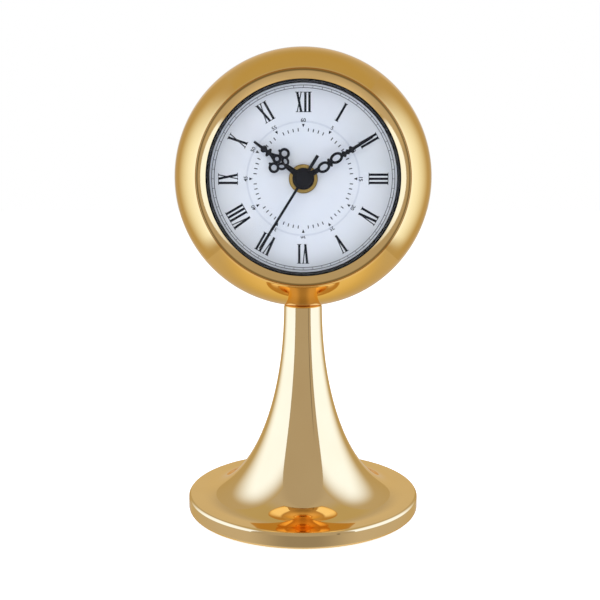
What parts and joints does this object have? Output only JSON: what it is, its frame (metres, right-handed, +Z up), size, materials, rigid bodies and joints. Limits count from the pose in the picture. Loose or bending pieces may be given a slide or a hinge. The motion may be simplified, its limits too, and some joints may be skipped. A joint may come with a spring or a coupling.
{
  "type": "table clock",
  "caption": "Table clock: polished gold ball on a slim trumpet stand, with a pull-out round quartz clock insert, Roman numeral dial and pierced black hands.",
  "frame": {"origin": "centre of the felt's underside, where the clock rests on the table", "axes": "+Z up along the stem, the dial faces -Y, +X to the right seen from the front"},
  "size_m": [0.117, 0.1131, 0.2143],
  "materials": {
    "stand_gold": "polished gold plate",
    "ball_gold": "polished gold plate",
    "bezel_gold": "polished gold plate",
    "steel": "zinc plated",
    "felt": "felt",
    "glass": "clear",
    "black_rubber": "matte",
    "black_plastic": "satin",
    "dial_white": "satin print",
    "nut_brass": "satin",
    "hand_black": "satin lacquer",
    "case_plastic": "matte",
    "bridge_plastic": "matte",
    "gear_plastic": "satin",
    "knob_plastic": "satin",
    "magnet": "sintered",
    "soft_iron": "punched",
    "copper": "enamelled wire",
    "board": "lacquered",
    "can_metal": "drawn",
    "battery_skin": "plain lacquered can"
  },
  "bodies": {
    "stand": {"pedestal": "stand_gold", "base_plate": "steel", "felt_pad": "felt", "tie_bolt": "steel", "ball_washer": "steel", "ball_nut": "steel", "ball_case": "ball_gold"},
    "clock_insert": {"bezel": "bezel_gold", "lens": "glass", "lens_gasket": "black_rubber", "insert_cup": "black_plastic", "grip_ring": "black_rubber", "dial": "dial_white", "centre_nut": "nut_brass", "centre_bush": "nut_brass", "seat_washer": "black_rubber", "movement_case": "case_plastic", "movement_cover": "case_plastic", "cover_screws": "steel", "train_bridge": "bridge_plastic", "stator": "soft_iron", "coil_core": "soft_iron", "coil_bobbin": "bridge_plastic", "coil_winding": "copper", "circuit_board": "board", "quartz_can": "can_metal", "contact_positive": "steel", "contact_negative": "steel"},
    "second_train": {"second_wheel": "gear_plastic", "second_hand": "hand_black"},
    "rotor": {"rotor": "magnet"},
    "intermediate_wheel": {"intermediate_wheel": "gear_plastic"},
    "third_wheel": {"third_wheel": "gear_plastic"},
    "centre_wheel": {"centre_wheel": "gear_plastic"},
    "minute_train": {"minute_arbor": "gear_plastic", "clutch_washer": "steel", "minute_hand": "hand_black"},
    "minute_wheel": {"minute_wheel": "gear_plastic"},
    "hour_train": {"hour_wheel": "gear_plastic", "hour_hand": "hand_black"},
    "setting_knob": {"setting_knob": "knob_plastic"},
    "battery": {"battery": "battery_skin"}
  },
  "joints": [
    {"name": "insert_pull", "type": "slide", "parent": "stand", "child": "clock_insert", "axis": [0, -1, 0], "range_m": [0, 0.06]},
    {"name": "second_spin", "type": "hinge", "parent": "clock_insert", "child": "second_train", "pos_m": [0, -0.03665, 0.1558], "axis": [0, 1, 0], "continuous": true},
    {"name": "rotor_spin", "type": "hinge", "parent": "clock_insert", "child": "rotor", "pos_m": [0.01267, -0.03665, 0.16507], "axis": [0, 1, 0], "continuous": true},
    {"name": "intermediate_spin", "type": "hinge", "parent": "clock_insert", "child": "intermediate_wheel", "pos_m": [0.00562, -0.03665, 0.1625], "axis": [0, 1, 0], "continuous": true},
    {"name": "third_spin", "type": "hinge", "parent": "clock_insert", "child": "third_wheel", "pos_m": [-0.00879, -0.03665, 0.16318], "axis": [0, 1, 0], "continuous": true},
    {"name": "centre_spin", "type": "hinge", "parent": "clock_insert", "child": "centre_wheel", "pos_m": [0, -0.03665, 0.1558], "axis": [0, 1, 0], "continuous": true},
    {"name": "minute_spin", "type": "hinge", "parent": "clock_insert", "child": "minute_train", "pos_m": [0, -0.03665, 0.1558], "axis": [0, 1, 0], "continuous": true},
    {"name": "minute_wheel_spin", "type": "hinge", "parent": "clock_insert", "child": "minute_wheel", "pos_m": [0.00864, -0.03665, 0.1558], "axis": [0, 1, 0], "continuous": true},
    {"name": "hour_spin", "type": "hinge", "parent": "clock_insert", "child": "hour_train", "pos_m": [0, -0.03665, 0.1558], "axis": [0, 1, 0], "continuous": true},
    {"name": "setting_spin", "type": "hinge", "parent": "clock_insert", "child": "setting_knob", "pos_m": [0.01728, -0.03665, 0.1558], "axis": [0, 1, 0], "continuous": true},
    {"name": "battery_lift", "type": "slide", "parent": "clock_insert", "child": "battery", "axis": [0, 1, 0], "range_m": [0, 0.018]}
  ],
  "couplings": [
    {"joint": "intermediate_spin", "follows": "second_spin", "ratio": -6},
    {"joint": "rotor_spin", "follows": "second_spin", "ratio": 30},
    {"joint": "third_spin", "follows": "second_spin", "ratio": -0.13333},
    {"joint": "centre_spin", "follows": "second_spin", "ratio": 0.016667},
    {"joint": "minute_wheel_spin", "follows": "minute_spin", "ratio": -0.33333},
    {"joint": "hour_spin", "follows": "minute_spin", "ratio": 0.083333},
    {"joint": "setting_spin", "follows": "minute_spin", "ratio": 1}
  ]
}
